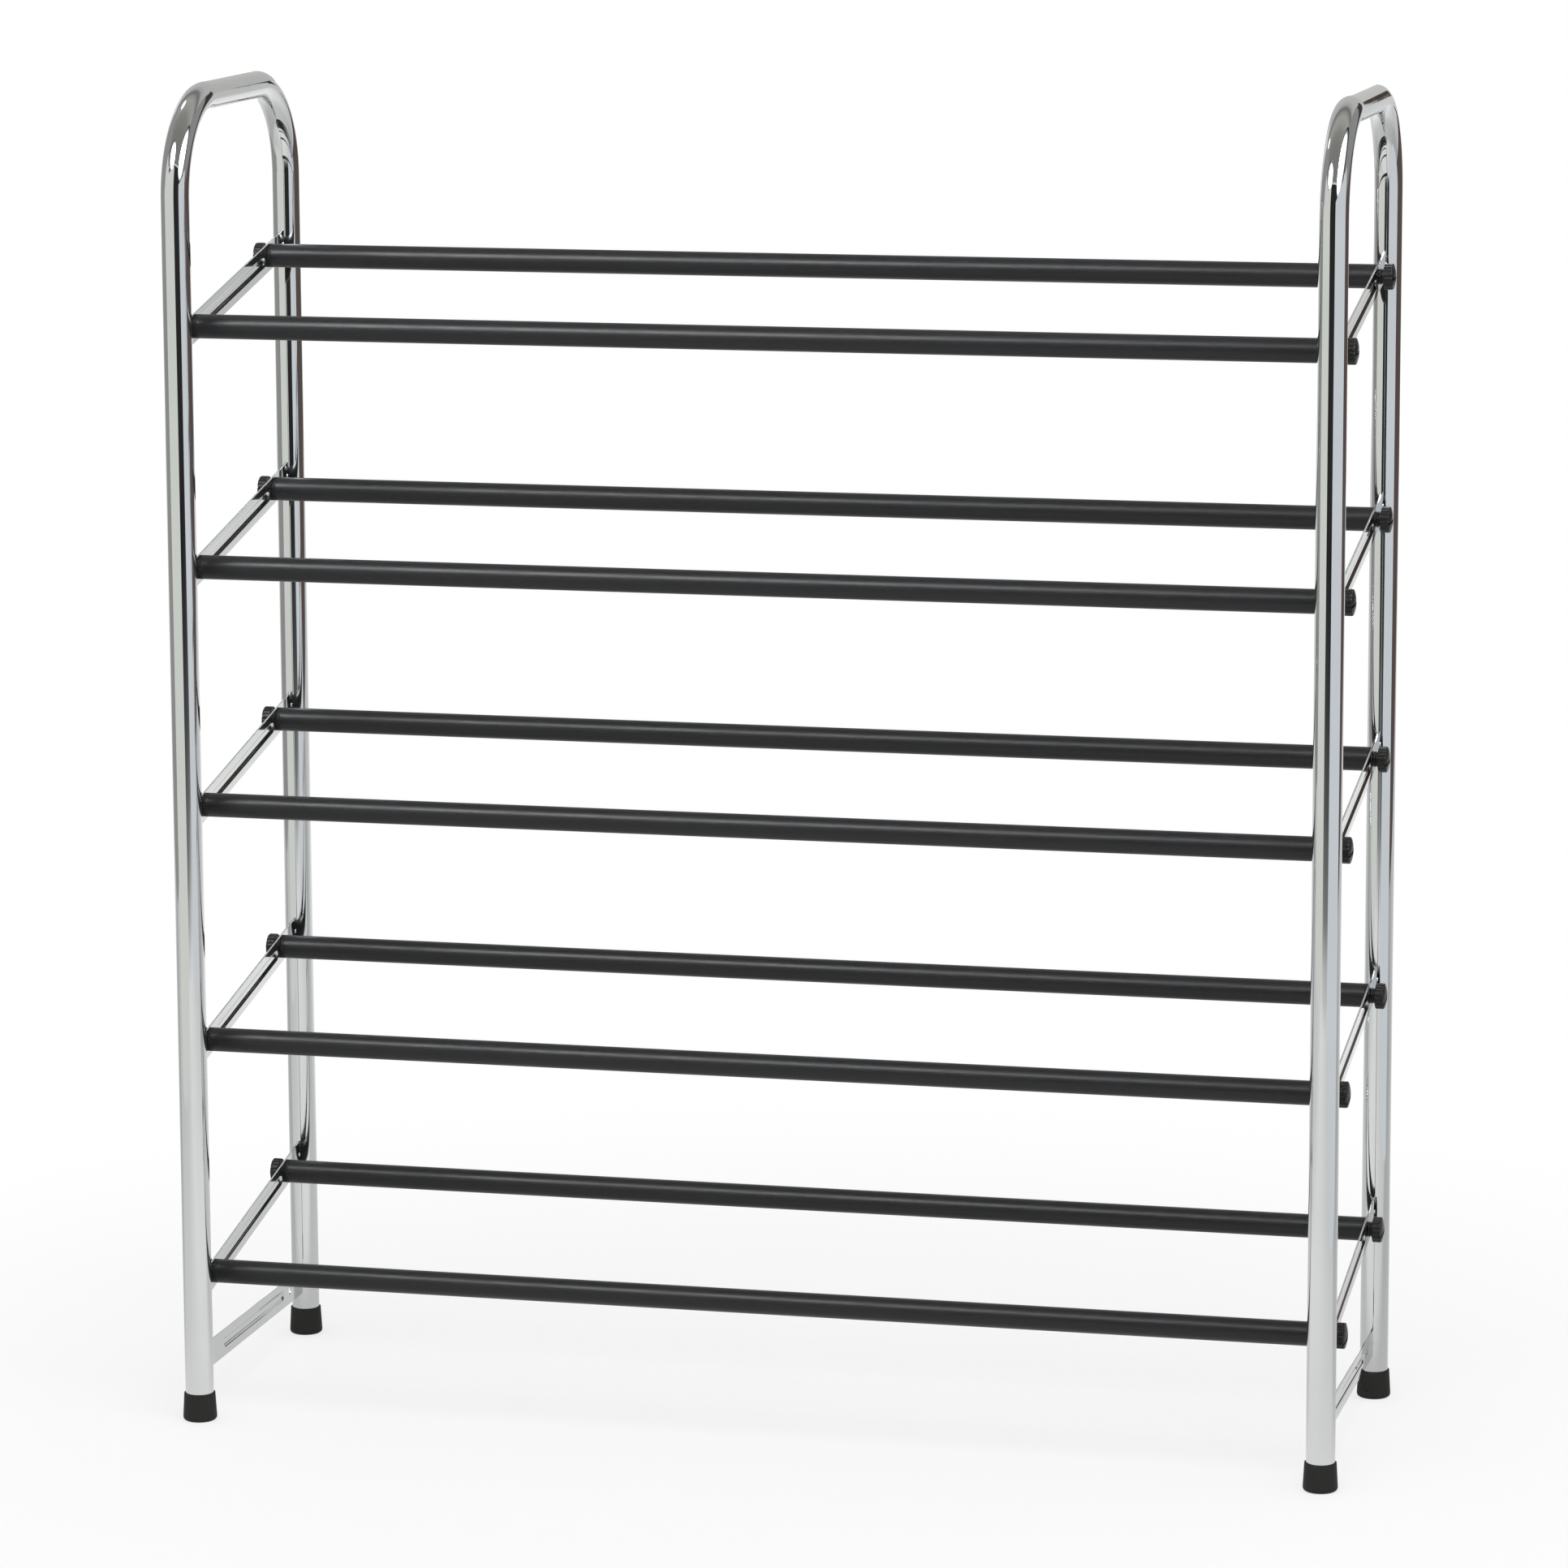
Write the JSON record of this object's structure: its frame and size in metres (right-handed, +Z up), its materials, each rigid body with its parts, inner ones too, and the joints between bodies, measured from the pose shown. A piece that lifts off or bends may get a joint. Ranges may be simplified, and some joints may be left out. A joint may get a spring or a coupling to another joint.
{
  "type": "shoe rack",
  "caption": "Tall open shoe rack: bent chrome tube end frames with carry loops, sloping tiers of black rods held by fluted thumbscrews, and black slip-on foot caps.",
  "frame": {"origin": "on the floor, under the middle of the rack", "axes": "+X along the rods to the right, +Y to the rear, +Z up"},
  "size_m": [0.7832, 0.2552, 0.8925],
  "materials": {
    "chrome": "bright plated",
    "rod_coat": "satin black powder coat",
    "bush_plastic": "moulded black plastic",
    "screw_plastic": "smooth moulded black plastic",
    "cap_plastic": "matte moulded black plastic"
  },
  "bodies": {
    "rack": {"left_end_frame": "chrome", "right_end_frame": "chrome", "foot_cap_left_front": "cap_plastic", "foot_cap_left_rear": "cap_plastic", "foot_cap_right_front": "cap_plastic", "foot_cap_right_rear": "cap_plastic", "rod_1_front": "rod_coat", "rod_1_rear": "rod_coat", "rod_2_front": "rod_coat", "rod_2_rear": "rod_coat", "rod_3_front": "rod_coat", "rod_3_rear": "rod_coat", "rod_4_front": "rod_coat", "rod_4_rear": "rod_coat", "rod_5_front": "rod_coat", "rod_5_rear": "rod_coat", "bush_1_front_left": "bush_plastic", "bush_1_front_right": "bush_plastic", "bush_1_rear_left": "bush_plastic", "bush_1_rear_right": "bush_plastic", "bush_2_front_left": "bush_plastic", "bush_2_front_right": "bush_plastic", "bush_2_rear_left": "bush_plastic", "bush_2_rear_right": "bush_plastic", "bush_3_front_left": "bush_plastic", "bush_3_front_right": "bush_plastic", "bush_3_rear_left": "bush_plastic", "bush_3_rear_right": "bush_plastic", "bush_4_front_left": "bush_plastic", "bush_4_front_right": "bush_plastic", "bush_4_rear_left": "bush_plastic", "bush_4_rear_right": "bush_plastic", "bush_5_front_left": "bush_plastic", "bush_5_front_right": "bush_plastic", "bush_5_rear_left": "bush_plastic", "bush_5_rear_right": "bush_plastic"},
    "thumbscrew_1_front_left": {"thumbscrew_1_front_left": "screw_plastic"},
    "thumbscrew_1_front_right": {"thumbscrew_1_front_right": "screw_plastic"},
    "thumbscrew_1_rear_left": {"thumbscrew_1_rear_left": "screw_plastic"},
    "thumbscrew_1_rear_right": {"thumbscrew_1_rear_right": "screw_plastic"},
    "thumbscrew_2_front_left": {"thumbscrew_2_front_left": "screw_plastic"},
    "thumbscrew_2_front_right": {"thumbscrew_2_front_right": "screw_plastic"},
    "thumbscrew_2_rear_left": {"thumbscrew_2_rear_left": "screw_plastic"},
    "thumbscrew_2_rear_right": {"thumbscrew_2_rear_right": "screw_plastic"},
    "thumbscrew_3_front_left": {"thumbscrew_3_front_left": "screw_plastic"},
    "thumbscrew_3_front_right": {"thumbscrew_3_front_right": "screw_plastic"},
    "thumbscrew_3_rear_left": {"thumbscrew_3_rear_left": "screw_plastic"},
    "thumbscrew_3_rear_right": {"thumbscrew_3_rear_right": "screw_plastic"},
    "thumbscrew_4_front_left": {"thumbscrew_4_front_left": "screw_plastic"},
    "thumbscrew_4_front_right": {"thumbscrew_4_front_right": "screw_plastic"},
    "thumbscrew_4_rear_left": {"thumbscrew_4_rear_left": "screw_plastic"},
    "thumbscrew_4_rear_right": {"thumbscrew_4_rear_right": "screw_plastic"},
    "thumbscrew_5_front_left": {"thumbscrew_5_front_left": "screw_plastic"},
    "thumbscrew_5_front_right": {"thumbscrew_5_front_right": "screw_plastic"},
    "thumbscrew_5_rear_left": {"thumbscrew_5_rear_left": "screw_plastic"},
    "thumbscrew_5_rear_right": {"thumbscrew_5_rear_right": "screw_plastic"}
  },
  "joints": [
    {"name": "thumbscrew_1_front_left_turn", "type": "hinge", "parent": "rack", "child": "thumbscrew_1_front_left", "pos_m": [-0.3809, -0.079, 0.0935], "axis": [-1, 0, 0], "continuous": true},
    {"name": "thumbscrew_1_front_right_turn", "type": "hinge", "parent": "rack", "child": "thumbscrew_1_front_right", "pos_m": [0.3809, -0.079, 0.0935], "axis": [1, 0, 0], "continuous": true},
    {"name": "thumbscrew_1_rear_left_turn", "type": "hinge", "parent": "rack", "child": "thumbscrew_1_rear_left", "pos_m": [-0.3809, 0.079, 0.1255], "axis": [-1, 0, 0], "continuous": true},
    {"name": "thumbscrew_1_rear_right_turn", "type": "hinge", "parent": "rack", "child": "thumbscrew_1_rear_right", "pos_m": [0.3809, 0.079, 0.1255], "axis": [1, 0, 0], "continuous": true},
    {"name": "thumbscrew_2_front_left_turn", "type": "hinge", "parent": "rack", "child": "thumbscrew_2_front_left", "pos_m": [-0.3809, -0.079, 0.2535], "axis": [-1, 0, 0], "continuous": true},
    {"name": "thumbscrew_2_front_right_turn", "type": "hinge", "parent": "rack", "child": "thumbscrew_2_front_right", "pos_m": [0.3809, -0.079, 0.2535], "axis": [1, 0, 0], "continuous": true},
    {"name": "thumbscrew_2_rear_left_turn", "type": "hinge", "parent": "rack", "child": "thumbscrew_2_rear_left", "pos_m": [-0.3809, 0.079, 0.2855], "axis": [-1, 0, 0], "continuous": true},
    {"name": "thumbscrew_2_rear_right_turn", "type": "hinge", "parent": "rack", "child": "thumbscrew_2_rear_right", "pos_m": [0.3809, 0.079, 0.2855], "axis": [1, 0, 0], "continuous": true},
    {"name": "thumbscrew_3_front_left_turn", "type": "hinge", "parent": "rack", "child": "thumbscrew_3_front_left", "pos_m": [-0.3809, -0.079, 0.4135], "axis": [-1, 0, 0], "continuous": true},
    {"name": "thumbscrew_3_front_right_turn", "type": "hinge", "parent": "rack", "child": "thumbscrew_3_front_right", "pos_m": [0.3809, -0.079, 0.4135], "axis": [1, 0, 0], "continuous": true},
    {"name": "thumbscrew_3_rear_left_turn", "type": "hinge", "parent": "rack", "child": "thumbscrew_3_rear_left", "pos_m": [-0.3809, 0.079, 0.4455], "axis": [-1, 0, 0], "continuous": true},
    {"name": "thumbscrew_3_rear_right_turn", "type": "hinge", "parent": "rack", "child": "thumbscrew_3_rear_right", "pos_m": [0.3809, 0.079, 0.4455], "axis": [1, 0, 0], "continuous": true},
    {"name": "thumbscrew_4_front_left_turn", "type": "hinge", "parent": "rack", "child": "thumbscrew_4_front_left", "pos_m": [-0.3809, -0.079, 0.5735], "axis": [-1, 0, 0], "continuous": true},
    {"name": "thumbscrew_4_front_right_turn", "type": "hinge", "parent": "rack", "child": "thumbscrew_4_front_right", "pos_m": [0.3809, -0.079, 0.5735], "axis": [1, 0, 0], "continuous": true},
    {"name": "thumbscrew_4_rear_left_turn", "type": "hinge", "parent": "rack", "child": "thumbscrew_4_rear_left", "pos_m": [-0.3809, 0.079, 0.6055], "axis": [-1, 0, 0], "continuous": true},
    {"name": "thumbscrew_4_rear_right_turn", "type": "hinge", "parent": "rack", "child": "thumbscrew_4_rear_right", "pos_m": [0.3809, 0.079, 0.6055], "axis": [1, 0, 0], "continuous": true},
    {"name": "thumbscrew_5_front_left_turn", "type": "hinge", "parent": "rack", "child": "thumbscrew_5_front_left", "pos_m": [-0.3809, -0.079, 0.7335], "axis": [-1, 0, 0], "continuous": true},
    {"name": "thumbscrew_5_front_right_turn", "type": "hinge", "parent": "rack", "child": "thumbscrew_5_front_right", "pos_m": [0.3809, -0.079, 0.7335], "axis": [1, 0, 0], "continuous": true},
    {"name": "thumbscrew_5_rear_left_turn", "type": "hinge", "parent": "rack", "child": "thumbscrew_5_rear_left", "pos_m": [-0.3809, 0.079, 0.7655], "axis": [-1, 0, 0], "continuous": true},
    {"name": "thumbscrew_5_rear_right_turn", "type": "hinge", "parent": "rack", "child": "thumbscrew_5_rear_right", "pos_m": [0.3809, 0.079, 0.7655], "axis": [1, 0, 0], "continuous": true}
  ]
}
